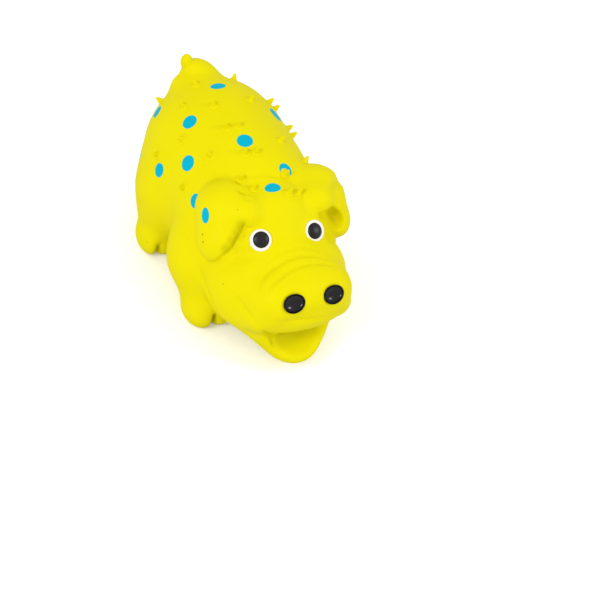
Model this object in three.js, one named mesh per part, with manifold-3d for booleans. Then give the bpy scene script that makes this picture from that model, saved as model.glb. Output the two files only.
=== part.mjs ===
// Hollow latex dog toy: a standing pig with folded ears, an open lower lip, a curled tail and soft
// spikes over its back, moulded as one thin skin, and the squeaker that is pushed into its belly.
// Millimetres. X runs across the pig, Y from the snout (-) to the tail (+), Z up from the soles.

import * as THREE from 'three';
import { mergeVertices } from 'three/addons/utils/BufferGeometryUtils.js';
import Module from 'manifold-3d';

const wasm = await Module();
wasm.setup();

// Driving dimensions of the pig
const PIG_LENGTH = 96;
const PIG_WIDTH = 58;
const BACK_HEIGHT = 54;

// The moulded skin
const SKIN_WALL = 2.2;
const POCKET_EASE = 0.2;
const HOLLOW_ROUNDING = 1.6;
const EYE_RADIUS = 3.4;
const EYE_PROUD = 1.5;
const NOSTRIL_WIDTH = 6.4;
const NOSTRIL_HEIGHT = 5.4;
const NOSTRIL_DEPTH = 2;
const SPIKE_HEIGHT = 2.2;
const SPIKE_BASE = 2;
const SPIKE_TIP = 0.8;
const SPIKE_ROOT = 0.8;

// The squeaker and its seat in the belly
const CASE_LENGTH = 14;
const CASE_NECK_DIAMETER = 11.6;
const CASE_WALL = 2;
const FLANGE_DIAMETER = 15;
const FLANGE_THICKNESS = 1.2;
const BARB_DIAMETER = 13.6;
const BARB_LENGTH = 2.4;
const VENT_DIAMETER = 4;
const COLLAR_DIAMETER = 17.4;
const COLLAR_THICKNESS = 3;
const SEAT_GAP = 0.3;

// The reed unit inside the squeaker
const REED_THICKNESS = 0.3;
const REED_WIDTH = 3.4;
const REED_GAP = 0.25;
const REED_TIP_SETBACK = 0.6;
const CLAMP_LENGTH = 4;
const CHANNEL_WIDTH = 2;
const CHANNEL_DEPTH = 1.4;
const CHANNEL_END_WALL = 1.4;
const RELIEF_ANGLE = THREE.MathUtils.degToRad(5);

// Finish of the meshes
const HEAD_CELL = 2.7;
const BODY_CELL = 3.8;
const CAVITY_CELL = 5;
const ROUND_STEPS = 24;
const SPIKE_STEPS = 6;
const BALL_STEPS = 12;
const CUT_OVERRUN = 2;
const GRID_MARGIN_SHARE = 0.2;
const MARCH_STEPS = 200;
const MARCH_PACE = 0.8;
const HALVING_STEPS = 8;

// Every lump is an ellipsoid. Its place and half sizes are shares of the pig's width, length and
// height, in that order. A turned lump has its half sizes along its own three axes instead, as
// shares of the height: along it, across it and out of it.
const torsoShares = [
  { at: [0, -0.042, 0.528], half: [0.368, 0.21, 0.407] },
  { at: [0, 0.125, 0.556], half: [0.395, 0.26, 0.444], blend: 0.148 },
  { at: [0, 0.275, 0.583], half: [0.38, 0.205, 0.42], blend: 0.148 },
  { at: [0.275, -0.083, 0.36], half: [0.21, 0.125, 0.255], blend: 0.111 },
  { at: [0.259, 0.208, 0.389], half: [0.178, 0.156, 0.278], blend: 0.111 },
];
const forelegShares = [
  { from: [0.302, -0.125, 0.296], to: [0.302, -0.177, 0.111], radii: [0.167, 0.142] },
  { at: [0.366, -0.19, 0.085], half: [0.08, 0.07, 0.095], blend: 0.056 },
  { at: [0.262, -0.203, 0.074], half: [0.06, 0.06, 0.08], blend: 0.03 },
];
const hindlegShares = [
  { from: [0.278, 0.208, 0.37], to: [0.317, 0.198, 0.13], radii: [0.178, 0.13] },
  { at: [0.395, 0.175, 0.085], half: [0.068, 0.068, 0.093], blend: 0.056 },
  { at: [0.33, 0.163, 0.072], half: [0.055, 0.06, 0.078], blend: 0.03 },
];
const headShares = [
  { at: [0, -0.188, 0.509], half: [0.345, 0.177, 0.278] },
  { at: [0, -0.344, 0.5], half: [0.266, 0.135, 0.191], blend: 0.111 },
  { at: [0, -0.422, 0.491], half: [0.255, 0.094, 0.154], blend: 0.074 },
  { at: [0, -0.448, 0.402], half: [0.295, 0.073, 0.126], blend: 0.056 },
  { at: [0.164, -0.302, 0.343], half: [0.198, 0.146, 0.194], blend: 0.111 },
  { at: [0.21, -0.323, 0.481], half: [0.117, 0.073, 0.13], blend: 0.093 },
  { at: [0, -0.195, 0.72], half: [0.2, 0.08, 0.168], blend: 0.11 },
  { at: [0.245, -0.25, 0.37], half: [0.13, 0.105, 0.165], blend: 0.093 },
  { at: [0.15, -0.43, 0.5], half: [0.13, 0.075, 0.13], blend: 0.056 },
  { at: [0.155, -0.257, 0.68], half: [0.09, 0.05, 0.078], blend: 0.056 },
];
const jawShares = [
  { at: [0, -0.36, 0.23], turned: [0.275, 0.265, 0.14] },
  { at: [0, -0.425, 0.162], turned: [0.18, 0.165, 0.125], blend: 0.06 },
];
const mouthShares = { at: [0, -0.525, 0.325], half: [0.222, 0.13, 0.175] };
const toeNotchShares = [
  { at: [0.322, -0.25, 0.03], half: [0.015, 0.045, 0.098] },
  { at: [0.385, 0.112, 0.028], half: [0.013, 0.038, 0.082] },
];
const earRootShares = { at: [0.25, -0.14, 0.746], turned: [0.182, 0.175, 0.15] };
const earFlapShares = { at: [0.321, -0.181, 0.663], turned: [0.183, 0.143, 0.115], blend: 0.06 };
const earLobeShares = { at: [0.205, -0.2, 0.795], half: [0.1, 0.06, 0.09], blend: 0.03 };
const earHollowShares = { turned: [0.12, 0.05, 0.055], shift: [0.06, -0.168, -0.075] };
const tailShares = [
  { from: [-0.038, 0.362, 0.82], to: [-0.038, 0.412, 0.935], radii: [0.185, 0.095] },
  { at: [0.01, 0.405, 0.915], half: [0.08, 0.05, 0.08], blend: 0.04 },
  { at: [-0.13, 0.395, 0.88], half: [0.055, 0.04, 0.07], blend: 0.04 },
  { at: [-0.088, 0.422, 1.02], half: [0.034, 0.02, 0.05], blend: 0.022 },
];
const joinShares = { legToLeg: 0.037, legs: 0.111, head: 0.06, jaw: 0.056, ears: 0.04, tail: 0.074 };

// The head stands a little to one side of the body
const headAsideShare = -0.02;

// Directions that the turned lumps follow
const JAW_FORWARD = [0, -1, -0.15];
const EAR_ROOT_OUT = [0.8, -0.1, 0.1];
const EAR_DROP = [0.36, -0.72, -0.59];
const EAR_FACE = [0.86, -0.02, 0.5];
const UP = [0, 0, 1];

// Places of the small features, as shares of the width, length and height
const eyeShares = [0.156, -0.303, 0.728];
const nostrilShares = [0.115, -0.501, 0.568];
const squeakerStationShare = 0.05;
const spineHeightShare = 0.52;

// Spikes: how far back each stands, as a share of the length, and how many degrees it leans from
// straight up, to the pig's right side (-) or left side (+).
const spikeShares = [
  [0.354, 21], [0.396, -44], [0.333, -14], [0.25, -31], [0.188, -14], [0.188, 14], [0.24, 40],
  [0.219, 44], [0.135, 49], [0.094, 48], [0, 20], [0.073, -7], [0.083, -15], [0.146, -45],
  [0.021, -35], [-0.033, -13], [-0.043, -5], [0.198, -68], [0.021, -67], [-0.104, -23],
  [-0.104, -30], [-0.146, -30], [-0.156, -18], [-0.125, 12], [-0.188, 20], [-0.2, 9],
  [-0.056, 41], [0.396, 44], [0.25, 70], [0.073, 72], [0.333, 78],
];

const place = ([x, y, z]) => [x * PIG_WIDTH, y * PIG_LENGTH, z * BACK_HEIGHT];

// Two distances joined smoothly over a width
function smoothJoin(a, b, width) {
  const h = THREE.MathUtils.clamp(0.5 + (0.5 * (b - a)) / width, 0, 1);
  return b + (a - b) * h - width * h * (1 - h);
}

// One distance cut by another, with the edge rounded over a width
const smoothCut = (a, b, width) => -smoothJoin(-a, b, width);

// Three unit axes: along a direction, across it, and out along a second one made square to it
function axesOf(along, out) {
  const t = new THREE.Vector3(...along).normalize();
  const n = new THREE.Vector3(...out);
  n.addScaledVector(t, -n.dot(t)).normalize();
  return [t, new THREE.Vector3().crossVectors(n, t), n];
}

const dot = (axis, x, y, z) => axis.x * x + axis.y * y + axis.z * z;

function ellipsoid(centre, half, axes) {
  return (x, y, z) => {
    let u = x - centre[0];
    let v = y - centre[1];
    let w = z - centre[2];
    if (axes) [u, v, w] = axes.map((axis) => dot(axis, x - centre[0], y - centre[1], z - centre[2]));
    const near = Math.hypot(u / half[0], v / half[1], w / half[2]);
    const slope = Math.hypot(u / half[0] ** 2, v / half[1] ** 2, w / half[2] ** 2);
    return (near * (near - 1)) / Math.max(slope, Number.EPSILON);
  };
}

// A round limb that tapers from one ball to another
function limb(from, to, radii) {
  const a = new THREE.Vector3(...from);
  const run = new THREE.Vector3(...to).sub(a);
  const lengthSquared = run.lengthSq();
  return (x, y, z) => {
    const away = dot(run, x - a.x, y - a.y, z - a.z) / lengthSquared;
    const h = THREE.MathUtils.clamp(away, 0, 1);
    const gap = Math.hypot(x - a.x - h * run.x, y - a.y - h * run.y, z - a.z - h * run.z);
    return gap - THREE.MathUtils.lerp(radii[0], radii[1], h);
  };
}

function lump(shares, axes) {
  if (shares.from) {
    const radii = shares.radii.map((share) => share * BACK_HEIGHT);
    return limb(place(shares.from), place(shares.to), radii);
  }
  if (shares.turned) {
    return ellipsoid(place(shares.at), shares.turned.map((share) => share * BACK_HEIGHT), axes);
  }
  return ellipsoid(place(shares.at), place(shares.half));
}

// Lumps of one list, each blended into those before it
function blended(list, axes) {
  const lumps = list.map((shares) => (
    { gap: lump(shares, axes), blend: (shares.blend ?? 0) * BACK_HEIGHT }
  ));
  return (x, y, z) => {
    let d = lumps[0].gap(x, y, z);
    for (const { gap, blend } of lumps.slice(1)) d = smoothJoin(d, gap(x, y, z), blend);
    return d;
  };
}

const torso = blended(torsoShares);
const foreleg = blended(forelegShares);
const hindleg = blended(hindlegShares);
const skull = blended(headShares);
const tail = blended(tailShares);
const jaw = blended(jawShares, axesOf(JAW_FORWARD, UP));
const earRoot = lump(earRootShares, axesOf(EAR_ROOT_OUT, UP));
const earAxes = axesOf(EAR_DROP, EAR_FACE);
const earFlap = lump(earFlapShares, earAxes);
const earLobe = lump(earLobeShares);
const earHollowCentre = new THREE.Vector3(...place(earFlapShares.at));
earHollowShares.shift.forEach((share, i) => {
  earHollowCentre.addScaledVector(earAxes[i], share * BACK_HEIGHT);
});
const earHollowHalf = earHollowShares.turned.map((share) => share * BACK_HEIGHT);
const earHollow = ellipsoid(earHollowCentre.toArray(), earHollowHalf, earAxes);

// How far the head's middle plane is from the pig's
const headAside = headAsideShare * PIG_WIDTH;

// Distance to the pig's outside, negative inside, with its lower jaw and ears or without them
function pigGap(x, y, z, jawed, eared) {
  const side = Math.abs(x);
  const legs = smoothJoin(
    foreleg(side, y, z),
    hindleg(side, y, z),
    joinShares.legToLeg * BACK_HEIGHT,
  );
  let d = smoothJoin(torso(side, y, z), legs, joinShares.legs * BACK_HEIGHT);
  const headSide = Math.abs(x - headAside);
  let head = skull(headSide, y, z);
  if (jawed) head = smoothJoin(head, jaw(headSide, y, z), joinShares.jaw * BACK_HEIGHT);
  d = smoothJoin(d, head, joinShares.head * BACK_HEIGHT);
  d = smoothJoin(d, tail(x, y, z), joinShares.tail * BACK_HEIGHT);
  if (!eared) return d;
  let ear = earRoot(side, y, z);
  ear = smoothJoin(ear, earFlap(side, y, z), earFlapShares.blend * BACK_HEIGHT);
  ear = smoothJoin(ear, earLobe(side, y, z), earLobeShares.blend * BACK_HEIGHT);
  return smoothJoin(d, ear, joinShares.ears * BACK_HEIGHT);
}

const coreGap = (x, y, z) => pigGap(x, y, z, false, false) - POCKET_EASE;

// Distance to the outside with the hollow in front of each ear's flap, which stops at the head
function skinGap(x, y, z) {
  const hollow = smoothCut(earHollow(Math.abs(x), y, z), coreGap(x, y, z), HOLLOW_ROUNDING);
  return smoothCut(pigGap(x, y, z, true, true), hollow, HOLLOW_ROUNDING);
}

// The hollow inside keeps the wall's thickness from the outside. The jaw and the ears are solid.
const cavityGap = (x, y, z) => pigGap(x, y, z, false, false) + SKIN_WALL;

function slopeAt(gap, point) {
  const step = SKIN_WALL / 10;
  const { x, y, z } = point;
  return new THREE.Vector3(
    gap(x + step, y, z) - gap(x - step, y, z),
    gap(x, y + step, z) - gap(x, y - step, z),
    gap(x, y, z + step) - gap(x, y, z - step),
  ).divideScalar(2 * step);
}

// The first point on the skin along a line, coming from far outside towards its start
function skinPoint(start, direction) {
  const point = start.clone().addScaledVector(direction, PIG_LENGTH);
  for (let i = 0; i < MARCH_STEPS; i += 1) {
    point.addScaledVector(direction, -MARCH_PACE * skinGap(...point));
  }
  return point;
}

// A grid's lines along one axis, each stretch of it with its own step
function gridLines(...stretches) {
  const lines = [];
  for (const { from, to, step } of stretches) {
    const count = Math.ceil((to - from) / step);
    for (let i = 0; i < count; i += 1) lines.push(from + ((to - from) * i) / count);
  }
  lines.push(stretches.at(-1).to);
  return lines;
}

// Corners of a cell as bits: 1 along x, 2 along y, 4 along z
const corners = [0, 1, 2, 3, 4, 5, 6, 7];

// True when the corners on one side of the surface hang together along the cell's edges
function hangTogether(members) {
  if (members.length < 2) return true;
  const reached = new Set([members[0]]);
  for (const corner of reached) {
    for (const bit of [1, 2, 4]) {
      if (members.includes(corner ^ bit)) reached.add(corner ^ bit);
    }
  }
  return reached.size === members.length;
}

// Where the surface crosses a line from a point inside to one outside, found by halving
function crossingOf(gap, inside, outside) {
  const middle = new THREE.Vector3();
  for (let halving = 0; halving < HALVING_STEPS; halving += 1) {
    middle.addVectors(inside, outside).divideScalar(2);
    (gap(...middle) < 0 ? inside : outside).copy(middle);
  }
  return middle;
}

// A closed mesh round the space where gap is negative: one vertex in each cell that the surface
// crosses, amid its crossings of the cell's edges, and one face round each grid edge it crosses.
function surfaceOf(gap, [xs, ys, zs]) {
  const [nx, ny, nz] = [xs.length, ys.length, zs.length];
  const indexOf = (i, j, k) => i + nx * (j + ny * k);
  const values = new Float64Array(nx * ny * nz);
  for (let k = 0; k < nz; k += 1) {
    for (let j = 0; j < ny; j += 1) {
      for (let i = 0; i < nx; i += 1) values[indexOf(i, j, k)] = gap(xs[i], ys[j], zs[k]);
    }
  }
  const cornerOf = (i, j, k, c) => indexOf(i + (c & 1), j + ((c >> 1) & 1), k + (c >> 2));

  // A cell crossed by two sheets would pinch the mesh, so its nearest odd corner changes side
  const eachCell = (visit) => {
    for (let k = 0; k < nz - 1; k += 1) {
      for (let j = 0; j < ny - 1; j += 1) {
        for (let i = 0; i < nx - 1; i += 1) visit(i, j, k);
      }
    }
  };
  let changed = true;
  while (changed) {
    changed = false;
    eachCell((i, j, k) => {
      const inside = corners.filter((c) => values[cornerOf(i, j, k, c)] < 0);
      const outside = corners.filter((c) => !inside.includes(c));
      if (hangTogether(inside) && hangTogether(outside)) return;
      const nearest = outside.sort(
        (a, b) => values[cornerOf(i, j, k, a)] - values[cornerOf(i, j, k, b)],
      )[0];
      values[cornerOf(i, j, k, nearest)] = -Number.EPSILON;
      changed = true;
    });
  }

  const positions = [];
  const vertexOf = new Map();
  const pointOf = (i, j, k, c) => (
    new THREE.Vector3(xs[i + (c & 1)], ys[j + ((c >> 1) & 1)], zs[k + (c >> 2)])
  );
  eachCell((i, j, k) => {
    const sum = new THREE.Vector3();
    let crossings = 0;
    for (const c of corners) {
      for (const bit of [1, 2, 4]) {
        if (c & bit) continue;
        const near = values[cornerOf(i, j, k, c)] < 0;
        if (values[cornerOf(i, j, k, c | bit)] < 0 === near) continue;
        const ends = [pointOf(i, j, k, c), pointOf(i, j, k, c | bit)];
        sum.add(near ? crossingOf(gap, ...ends) : crossingOf(gap, ...ends.reverse()));
        crossings += 1;
      }
    }
    if (crossings === 0) return;
    vertexOf.set(indexOf(i, j, k), positions.length / 3);
    positions.push(...sum.divideScalar(crossings));
  });

  const triangles = [];
  const pointAt = (v) => new THREE.Vector3().fromArray(positions, 3 * v);
  const addFace = (ring, flip) => {
    const [a, b, c, d] = flip ? [...ring].reverse() : ring;
    const shortAcross = pointAt(a).distanceTo(pointAt(c)) < pointAt(b).distanceTo(pointAt(d));
    triangles.push(...(shortAcross ? [a, b, c, a, c, d] : [b, c, d, b, d, a]));
  };
  const cell = (i, j, k) => vertexOf.get(indexOf(i, j, k));
  for (let k = 1; k < nz - 1; k += 1) {
    for (let j = 1; j < ny - 1; j += 1) {
      for (let i = 1; i < nx - 1; i += 1) {
        const here = values[indexOf(i, j, k)] < 0;
        if (values[indexOf(i + 1, j, k)] < 0 !== here) {
          addFace([cell(i, j - 1, k - 1), cell(i, j, k - 1), cell(i, j, k), cell(i, j - 1, k)], !here);
        }
        if (values[indexOf(i, j + 1, k)] < 0 !== here) {
          addFace([cell(i - 1, j, k - 1), cell(i - 1, j, k), cell(i, j, k), cell(i, j, k - 1)], !here);
        }
        if (values[indexOf(i, j, k + 1)] < 0 !== here) {
          addFace([cell(i - 1, j - 1, k), cell(i, j - 1, k), cell(i, j, k), cell(i - 1, j, k)], !here);
        }
      }
    }
  }
  const geometry = new THREE.BufferGeometry();
  geometry.setAttribute('position', new THREE.Float32BufferAttribute(positions, 3));
  geometry.setIndex(triangles);
  return geometry;
}

// A closed geometry as a solid that can be joined and cut, and back
function solidOf(geometry) {
  const bare = geometry.clone();
  bare.deleteAttribute('normal');
  bare.deleteAttribute('uv');
  const merged = mergeVertices(bare);
  return new wasm.Manifold(new wasm.Mesh({
    numProp: 3,
    vertProperties: new Float32Array(merged.attributes.position.array),
    triVerts: new Uint32Array(merged.index.array),
  }));
}

function geometryOf(solid) {
  const mesh = solid.getMesh();
  const geometry = new THREE.BufferGeometry();
  geometry.setAttribute('position', new THREE.BufferAttribute(mesh.vertProperties, 3));
  geometry.setIndex(new THREE.BufferAttribute(mesh.triVerts, 1));
  geometry.computeVertexNormals();
  return geometry;
}

// A profile of [radius, height] points turned about the Z axis
function turned(profile, steps = ROUND_STEPS) {
  const points = profile.map(([radius, height]) => new THREE.Vector2(radius, height));
  return new THREE.LatheGeometry(points, steps).rotateX(Math.PI / 2);
}

// Geometry stood on a point, its Z axis turned to a direction
function stoodOn(geometry, point, direction) {
  const turn = new THREE.Quaternion().setFromUnitVectors(new THREE.Vector3(0, 0, 1), direction);
  return geometry.applyQuaternion(turn).translate(...point);
}

// Levels of the belly seat, from the belly's lowest skin upwards
const squeakerY = squeakerStationShare * PIG_LENGTH;
const belly = skinPoint(new THREE.Vector3(0, squeakerY, BACK_HEIGHT / 2), new THREE.Vector3(0, 0, -1));
const collarBottom = belly.z + SEAT_GAP;
const collarTop = collarBottom + COLLAR_THICKNESS;
const caseBottom = collarBottom - SEAT_GAP - FLANGE_THICKNESS;
const neckTop = collarTop + SEAT_GAP;

function spikes() {
  const profile = [
    [0, -SPIKE_ROOT],
    [SPIKE_BASE / 2, -SPIKE_ROOT],
    [SPIKE_BASE / 2, 0],
    [SPIKE_TIP / 2, SPIKE_HEIGHT - SPIKE_TIP / 2],
    [0, SPIKE_HEIGHT],
  ];
  return spikeShares.map(([stationShare, lean]) => {
    const angle = THREE.MathUtils.degToRad(lean);
    const spine = new THREE.Vector3(0, stationShare * PIG_LENGTH, spineHeightShare * BACK_HEIGHT);
    const root = skinPoint(spine, new THREE.Vector3(Math.sin(angle), 0, Math.cos(angle)));
    const out = slopeAt(skinGap, root).normalize();
    return solidOf(stoodOn(turned(profile, SPIKE_STEPS), root, out));
  });
}

// A pair of balls on the face, at a named place and its mirror place across the head's middle plane
function facePair(shares, half, lift) {
  const target = new THREE.Vector3(...place(shares));
  target.x += headAside;
  const out = slopeAt(skinGap, target).normalize();
  const root = target.clone().addScaledVector(out, -skinGap(...target));
  root.addScaledVector(out, lift);
  const ball = stoodOn(unitBall(BALL_STEPS).scale(...half), root, out);
  return [ball, mirrored(ball).translate(2 * headAside, 0, 0)].map(solidOf);
}

function unitBall(steps) {
  return new THREE.SphereGeometry(1, steps, steps / 2).rotateX(Math.PI / 2);
}

function ballOf({ at, half }, steps) {
  return unitBall(steps).scale(...place(half)).translate(...place(at));
}

// The scoop between the lips, which stops at the head and body
function mouthPocket(grid) {
  const ball = solidOf(ballOf(mouthShares, ROUND_STEPS).translate(headAside, 0, 0));
  return ball.subtract(solidOf(surfaceOf(coreGap, grid)));
}

// The notches between the toes, on both sides
function toeNotches() {
  const balls = toeNotchShares.map((shares) => ballOf(shares, BALL_STEPS));
  return [...balls, ...balls.map(mirrored)].map(solidOf);
}

// The mirror image across the pig's middle plane, with its faces still pointing out
function mirrored(geometry) {
  const copy = geometry.clone().scale(-1, 1, 1);
  const index = copy.index.array;
  for (let i = 0; i < index.length; i += 3) [index[i], index[i + 1]] = [index[i + 1], index[i]];
  return copy;
}

function latexSkin() {
  const margin = GRID_MARGIN_SHARE * BACK_HEIGHT;
  const halfWidth = PIG_WIDTH / 2 + margin;
  const halfLength = PIG_LENGTH / 2 + margin;
  const outerGrid = [
    gridLines({ from: -halfWidth, to: halfWidth, step: HEAD_CELL }),
    gridLines(
      { from: -halfLength, to: 0, step: HEAD_CELL },
      { from: 0, to: halfLength, step: BODY_CELL },
    ),
    gridLines({ from: -margin, to: BACK_HEIGHT + margin, step: HEAD_CELL }),
  ];
  const cavityGrid = outerGrid.map((lines) => (
    gridLines({ from: lines[0], to: lines.at(-1), step: CAVITY_CELL })
  ));
  const nostrilHalf = [NOSTRIL_WIDTH / 2, NOSTRIL_HEIGHT / 2, NOSTRIL_DEPTH];
  const pits = facePair(nostrilShares, nostrilHalf, 0);
  const eyes = facePair(eyeShares, [EYE_RADIUS, EYE_RADIUS, EYE_RADIUS], EYE_PROUD - EYE_RADIUS);
  let skin = solidOf(surfaceOf(skinGap, outerGrid));
  for (const cut of [mouthPocket(outerGrid), ...pits, ...toeNotches()]) skin = skin.subtract(cut);
  for (const bump of [...spikes(), ...eyes]) skin = skin.add(bump);
  skin = skin.subtract(solidOf(surfaceOf(cavityGap, cavityGrid)));

  // The soles are cut flat, and the belly gets its collar and the bore for the squeaker's neck
  const below = new THREE.BoxGeometry(2 * PIG_WIDTH, 2 * PIG_LENGTH, BACK_HEIGHT);
  skin = skin.subtract(solidOf(below.translate(0, 0, -BACK_HEIGHT / 2)));
  const collar = turned([
    [0, collarBottom],
    [COLLAR_DIAMETER / 2, collarBottom],
    [COLLAR_DIAMETER / 2, collarTop],
    [0, collarTop],
  ]);
  const boreRadius = CASE_NECK_DIAMETER / 2 + SEAT_GAP;
  const seatRadius = FLANGE_DIAMETER / 2 + SEAT_GAP;
  const barbRoom = BARB_DIAMETER / 2 + SEAT_GAP;
  const bore = turned([
    [0, caseBottom],
    [seatRadius, caseBottom],
    [seatRadius, collarBottom],
    [boreRadius, collarBottom],
    [boreRadius, collarTop],
    [barbRoom, collarTop],
    [barbRoom, neckTop + BARB_LENGTH],
    [0, neckTop + BARB_LENGTH],
  ]);
  skin = skin.add(solidOf(collar.translate(0, squeakerY, 0)));
  return skin.subtract(solidOf(bore.translate(0, squeakerY, 0)));
}

const caseBore = CASE_NECK_DIAMETER / 2 - CASE_WALL;
const reedUnitRadius = caseBore - SEAT_GAP;
const reedUnitLength = CASE_LENGTH - FLANGE_THICKNESS - 2 * SEAT_GAP;

function squeakerCase() {
  const neck = CASE_NECK_DIAMETER / 2;
  const neckLength = neckTop - caseBottom;
  return turned([
    [VENT_DIAMETER / 2, 0],
    [FLANGE_DIAMETER / 2, 0],
    [FLANGE_DIAMETER / 2, FLANGE_THICKNESS],
    [neck, FLANGE_THICKNESS],
    [neck, neckLength],
    [BARB_DIAMETER / 2, neckLength],
    [neck, neckLength + BARB_LENGTH],
    [neck, CASE_LENGTH],
    [caseBore, CASE_LENGTH],
    [caseBore, FLANGE_THICKNESS],
    [VENT_DIAMETER / 2, FLANGE_THICKNESS],
    [VENT_DIAMETER / 2, 0],
  ]);
}

// Half of a round rod, flat on the side that faces the reed. Side is 1 for the clamp, -1 for the seat.
function halfRod(length, side) {
  const flat = REED_THICKNESS / 2 + REED_GAP;
  const rim = Math.asin(flat / reedUnitRadius);
  const outline = new THREE.Shape();
  outline.absarc(0, 0, reedUnitRadius, rim, Math.PI - rim, false);
  outline.closePath();
  const rod = new THREE.ExtrudeGeometry(outline, {
    depth: length,
    bevelEnabled: false,
    curveSegments: ROUND_STEPS / 2,
  });
  return side > 0 ? rod : rod.rotateZ(Math.PI);
}

function reedSeat() {
  const flat = REED_THICKNESS / 2 + REED_GAP;
  const channelLength = reedUnitLength - CHANNEL_END_WALL + CUT_OVERRUN;
  const channel = new THREE.BoxGeometry(CHANNEL_WIDTH, 2 * CHANNEL_DEPTH, channelLength);
  channel.translate(0, -flat, channelLength / 2 - CUT_OVERRUN);

  // Above the clamp the face falls away from the reed, so that the reed has room to beat
  const relief = new THREE.BoxGeometry(2 * caseBore, caseBore, reedUnitLength);
  relief.translate(0, caseBore / 2, reedUnitLength / 2);
  relief.rotateX(RELIEF_ANGLE).translate(0, -flat, CLAMP_LENGTH);
  const rod = solidOf(halfRod(reedUnitLength, -1));
  return geometryOf(rod.subtract(solidOf(channel)).subtract(solidOf(relief)));
}

function reedStrip() {
  const length = reedUnitLength - REED_TIP_SETBACK;
  return new THREE.BoxGeometry(REED_WIDTH, REED_THICKNESS, length).translate(0, 0, length / 2);
}

const latexYellow = new THREE.MeshStandardMaterial({ color: 0xf4e503, roughness: 0.5, metalness: 0 });
const casePlastic = new THREE.MeshStandardMaterial({ color: 0xf0efea, roughness: 0.4, metalness: 0 });
const reedPlastic = new THREE.MeshStandardMaterial({ color: 0xd9dde0, roughness: 0.3, metalness: 0 });

function addPiece(parent, name, geometry, material, height = 0) {
  const mesh = new THREE.Mesh(geometry, material);
  mesh.name = name;
  mesh.position.z = height;
  parent.add(mesh);
  return mesh;
}

const pig = new THREE.Group();
const skinMesh = addPiece(pig, 'latex_skin', geometryOf(latexSkin()), latexYellow);

const squeaker = new THREE.Group();
squeaker.position.set(0, squeakerY, caseBottom);
pig.add(squeaker);
const unitBottom = FLANGE_THICKNESS + SEAT_GAP;
addPiece(squeaker, 'squeaker_case', squeakerCase(), casePlastic);
addPiece(squeaker, 'reed_seat', reedSeat(), casePlastic, unitBottom);
addPiece(squeaker, 'reed_clamp', halfRod(CLAMP_LENGTH, 1), casePlastic, unitBottom);
addPiece(squeaker, 'reed', reedStrip(), reedPlastic, unitBottom);

// The origin is on the floor, under the middle of the pig
const bounds = new THREE.Box3().setFromObject(skinMesh);
const middle = bounds.getCenter(new THREE.Vector3());
pig.position.set(-middle.x, -middle.y, -bounds.min.z);

export default pig;
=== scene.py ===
"""Dresses a hollow latex dog toy, a standing spotted pig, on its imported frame: the moulded skin with
its folds, the soft spikes, the painted spots, eyes and nostrils, and the squeaker in the belly.

Metres throughout. X runs across the pig, Y from the snout (-) to the tail (+), Z up from the soles.
"""

import bmesh
import bpy
import numpy as np
from bpy.props import FloatProperty, FloatVectorProperty, IntProperty, PointerProperty
from mathutils import Matrix, Vector


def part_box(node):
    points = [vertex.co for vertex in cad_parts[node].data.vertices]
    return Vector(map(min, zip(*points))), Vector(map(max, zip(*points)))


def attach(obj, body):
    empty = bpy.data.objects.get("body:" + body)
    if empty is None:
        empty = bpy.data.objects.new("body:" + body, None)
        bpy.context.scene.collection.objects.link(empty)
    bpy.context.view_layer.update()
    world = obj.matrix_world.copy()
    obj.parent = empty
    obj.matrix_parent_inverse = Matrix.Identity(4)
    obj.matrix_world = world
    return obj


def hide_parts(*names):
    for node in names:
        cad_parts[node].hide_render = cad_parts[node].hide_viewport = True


bl_info = {
    "name": "Spotted latex pig",
    "version": (1, 0, 0),
    "blender": (4, 5, 0),
    "location": "View3D > Sidebar > Latex Pig",
    "description": "Skin, spikes, eyes, nostrils and squeaker of a latex pig dog toy",
    "category": "Object",
}

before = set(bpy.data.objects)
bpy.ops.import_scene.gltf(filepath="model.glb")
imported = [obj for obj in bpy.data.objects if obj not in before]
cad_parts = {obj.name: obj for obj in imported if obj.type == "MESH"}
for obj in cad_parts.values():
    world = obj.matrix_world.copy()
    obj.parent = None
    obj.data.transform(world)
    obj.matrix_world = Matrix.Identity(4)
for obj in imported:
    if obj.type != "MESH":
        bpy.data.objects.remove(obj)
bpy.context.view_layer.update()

# Sizes of the pig and of the squeaker's seat, the same as in the part's source
PIG_LENGTH = 0.096
PIG_WIDTH = 0.058
BACK_HEIGHT = 0.054
SPAN = np.array([PIG_WIDTH, PIG_LENGTH, BACK_HEIGHT])
POCKET_EASE = 0.0002
CASE_NECK_DIAMETER = 0.0116
FLANGE_DIAMETER = 0.015
FLANGE_THICKNESS = 0.0012
BARB_DIAMETER = 0.0136
BARB_LENGTH = 0.0024
COLLAR_DIAMETER = 0.0174
COLLAR_THICKNESS = 0.003
SEAT_GAP = 0.0003
SQUEAKER_STATION_SHARE = 0.05
SPINE_HEIGHT_SHARE = 0.52

# The collar's sloped foot, how far the collar and its bore overlap, and how far below the squeaker
# the bore starts
COLLAR_CHAMFER = 0.0003
SEAT_OVERLAP = 0.0001
BORE_REACH = 0.002

# The grid that the skin is worked out on: its room round the pig and below the soles, its top as a
# share of the height, and the distance given to a corner that is drawn inside
GRID_ROOM = 0.004
GRID_BELOW = 0.003
GRID_TOP_SHARE = 1.09
JUST_INSIDE = -1e-9

# Points nearer than this are merged: where a turned form closes, and along the skin's cuts
POLE_MERGE = 1e-7
CUT_MERGE = 0.000005

# Steps round each turned form, and points along its curves
SEAT_STEPS = 64
SPIKE_STEPS = 20
EYE_STEPS = 48
NOSTRIL_STEPS = 56
FLOOR_STEPS = 96
CURVE_POINTS = 14
SPIKE_CURVE_POINTS = 8
FOLD_POINTS = 48

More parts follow.
